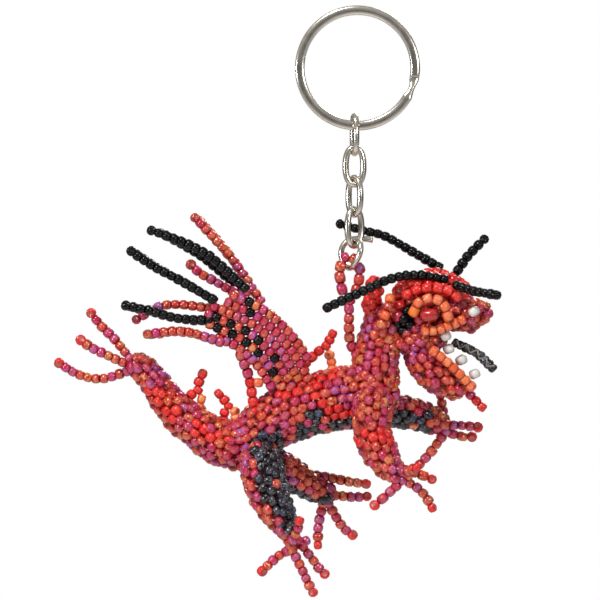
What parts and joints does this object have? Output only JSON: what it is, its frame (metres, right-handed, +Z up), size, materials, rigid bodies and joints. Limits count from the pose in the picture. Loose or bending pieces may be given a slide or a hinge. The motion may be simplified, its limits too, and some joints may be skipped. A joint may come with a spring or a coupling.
{
  "type": "beaded dragon key ring",
  "caption": "Woven seed-bead dragon with raised wings, horns and toe strands, hung from a short cable chain and a steel split ring",
  "frame": {"origin": "centre of the split ring", "axes": "+X towards the dragon's head, +Y through the split ring towards the far side, +Z up along the chain"},
  "size_m": [0.089, 0.0277, 0.1178],
  "materials": {
    "ring_steel": "nickel plated spring steel",
    "chain_steel": "nickel plated iron wire",
    "nylon_thread": "clear nylon monofilament",
    "black_beads": "opaque jet black glass",
    "white_beads": "pearl white glass",
    "orange_beads": "pearl orange glass",
    "opaque_red_beads": "opaque bright red glass",
    "hematite_beads": "dark iridescent hematite glass",
    "eye_glass": "faceted transparent red glass",
    "ab_red_beads": "transparent red glass with a rainbow coat"
  },
  "bodies": {
    "key_ring": {"split_ring": "ring_steel"},
    "link_1": {"chain_link_1": "chain_steel"},
    "link_2": {"chain_link_2": "chain_steel"},
    "link_3": {"chain_link_3": "chain_steel"},
    "link_4": {"chain_link_4": "chain_steel"},
    "open_ring": {"open_link": "chain_steel"},
    "loop": {"hanging_loop": "ab_red_beads", "hanging_loop_thread": "nylon_thread"},
    "torso": {"torso_weave": "ab_red_beads", "neck_weave": "ab_red_beads", "mane_beads": "opaque_red_beads", "neck_picot": "orange_beads", "back_spike": "opaque_red_beads", "torso_thread": "nylon_thread"},
    "head": {"head_weave": "ab_red_beads", "snout_weave": "ab_red_beads", "crest_beads": "opaque_red_beads", "brow_beads": "opaque_red_beads", "eye_beads": "eye_glass", "eye_ring_beads": "orange_beads", "horn_near": "black_beads", "horn_far": "black_beads", "antenna_near": "black_beads", "antenna_far": "black_beads", "upper_lip": "orange_beads", "upper_teeth": "white_beads", "head_thread": "nylon_thread"},
    "lower_jaw": {"jaw_weave": "ab_red_beads", "lower_lip": "orange_beads", "lower_teeth": "white_beads", "chin_strand": "opaque_red_beads", "tongue": "hematite_beads", "jaw_thread": "nylon_thread"},
    "tail": {"tail_weave": "ab_red_beads", "tail_tip_upper": "ab_red_beads", "tail_tip_middle": "ab_red_beads", "tail_tip_lower": "ab_red_beads", "tail_spike_front": "opaque_red_beads", "tail_spike_rear": "opaque_red_beads", "tail_thread": "nylon_thread"},
    "near_wing": {"wing_near_weave": "ab_red_beads", "wing_near_black_ribs": "black_beads", "wing_near_red_ribs": "ab_red_beads", "wing_near_thread": "nylon_thread"},
    "far_wing": {"wing_far_weave": "ab_red_beads", "wing_far_black_ribs": "black_beads", "wing_far_red_ribs": "ab_red_beads", "wing_far_thread": "nylon_thread"},
    "near_front_leg": {"leg_front_near_weave": "ab_red_beads", "leg_front_near_toes": "ab_red_beads", "leg_front_near_thread": "nylon_thread"},
    "far_front_leg": {"leg_front_far_weave": "ab_red_beads", "leg_front_far_toes": "ab_red_beads", "leg_front_far_thread": "nylon_thread"},
    "near_hind_leg": {"leg_hind_near_weave": "ab_red_beads", "leg_hind_near_toes": "ab_red_beads", "leg_hind_near_thread": "nylon_thread"},
    "far_hind_leg": {"leg_hind_far_weave": "ab_red_beads", "leg_hind_far_toes": "ab_red_beads", "leg_hind_far_thread": "nylon_thread"}
  },
  "joints": [
    {"name": "ring_swing", "type": "hinge", "parent": "key_ring", "child": "link_1", "pos_m": [-0.0006, 0, -0.01155], "axis": [1, 0, 0], "range_deg": [-40, 40]},
    {"name": "link_2_swing", "type": "hinge", "parent": "link_1", "child": "link_2", "pos_m": [-0.0006, 0, -0.0171], "axis": [0.1736, -0.9848, 0], "range_deg": [-30, 30]},
    {"name": "link_3_swing", "type": "hinge", "parent": "link_2", "child": "link_3", "pos_m": [-0.0006, 0, -0.02335], "axis": [0.9848, 0.1736, 0], "range_deg": [-25, 25]},
    {"name": "link_4_swing", "type": "hinge", "parent": "link_3", "child": "link_4", "pos_m": [-0.0006, 0, -0.0294], "axis": [0.6428, -0.766, 0], "range_deg": [-30, 30]},
    {"name": "open_link_swing", "type": "hinge", "parent": "link_4", "child": "open_ring", "pos_m": [-0.0006, 0, -0.03565], "axis": [0.766, 0.6428, 0], "range_deg": [-15, 15]},
    {"name": "loop_swing", "type": "hinge", "parent": "open_ring", "child": "loop", "pos_m": [-0.0015, 0, -0.04], "axis": [0, 1, 0], "range_deg": [-25, 25]},
    {"name": "body_sway", "type": "hinge", "parent": "loop", "child": "torso", "pos_m": [-0.0015, 0, -0.0552], "axis": [1, 0, 0], "range_deg": [-10, 6]},
    {"name": "head_nod", "type": "hinge", "parent": "torso", "child": "head", "pos_m": [0.0053, 0, -0.052], "axis": [0, 1, 0], "range_deg": [-8, 2]},
    {"name": "jaw_open", "type": "hinge", "parent": "head", "child": "lower_jaw", "pos_m": [0.0105, 0, -0.0572], "axis": [0, 1, 0], "range_deg": [-2, 8]},
    {"name": "tail_swing", "type": "hinge", "parent": "torso", "child": "tail", "pos_m": [-0.0275, 0, -0.075], "axis": [0, 0, 1], "range_deg": [-12, 12]},
    {"name": "near_wing_flap", "type": "hinge", "parent": "torso", "child": "near_wing", "pos_m": [-0.0144, -0.0032, -0.0618], "axis": [0.9774, 0, 0.2113], "range_deg": [-4, 14]},
    {"name": "far_wing_flap", "type": "hinge", "parent": "torso", "child": "far_wing", "pos_m": [-0.0144, 0.0032, -0.0618], "axis": [-0.9774, 0, -0.2113], "range_deg": [-4, 14]},
    {"name": "near_front_leg_swing", "type": "hinge", "parent": "torso", "child": "near_front_leg", "pos_m": [0.003, -0.0054, -0.0676], "axis": [0, 1, 0], "range_deg": [-10, 10]},
    {"name": "far_front_leg_swing", "type": "hinge", "parent": "torso", "child": "far_front_leg", "pos_m": [0.0048, 0.0056, -0.0684], "axis": [0, 1, 0], "range_deg": [-8, 10]},
    {"name": "near_hind_leg_swing", "type": "hinge", "parent": "torso", "child": "near_hind_leg", "pos_m": [-0.0193, -0.0046, -0.079], "axis": [0, 1, 0], "range_deg": [-10, 10]},
    {"name": "far_hind_leg_swing", "type": "hinge", "parent": "torso", "child": "far_hind_leg", "pos_m": [-0.016, 0.0048, -0.0794], "axis": [0, 1, 0], "range_deg": [-8, 8]}
  ]
}
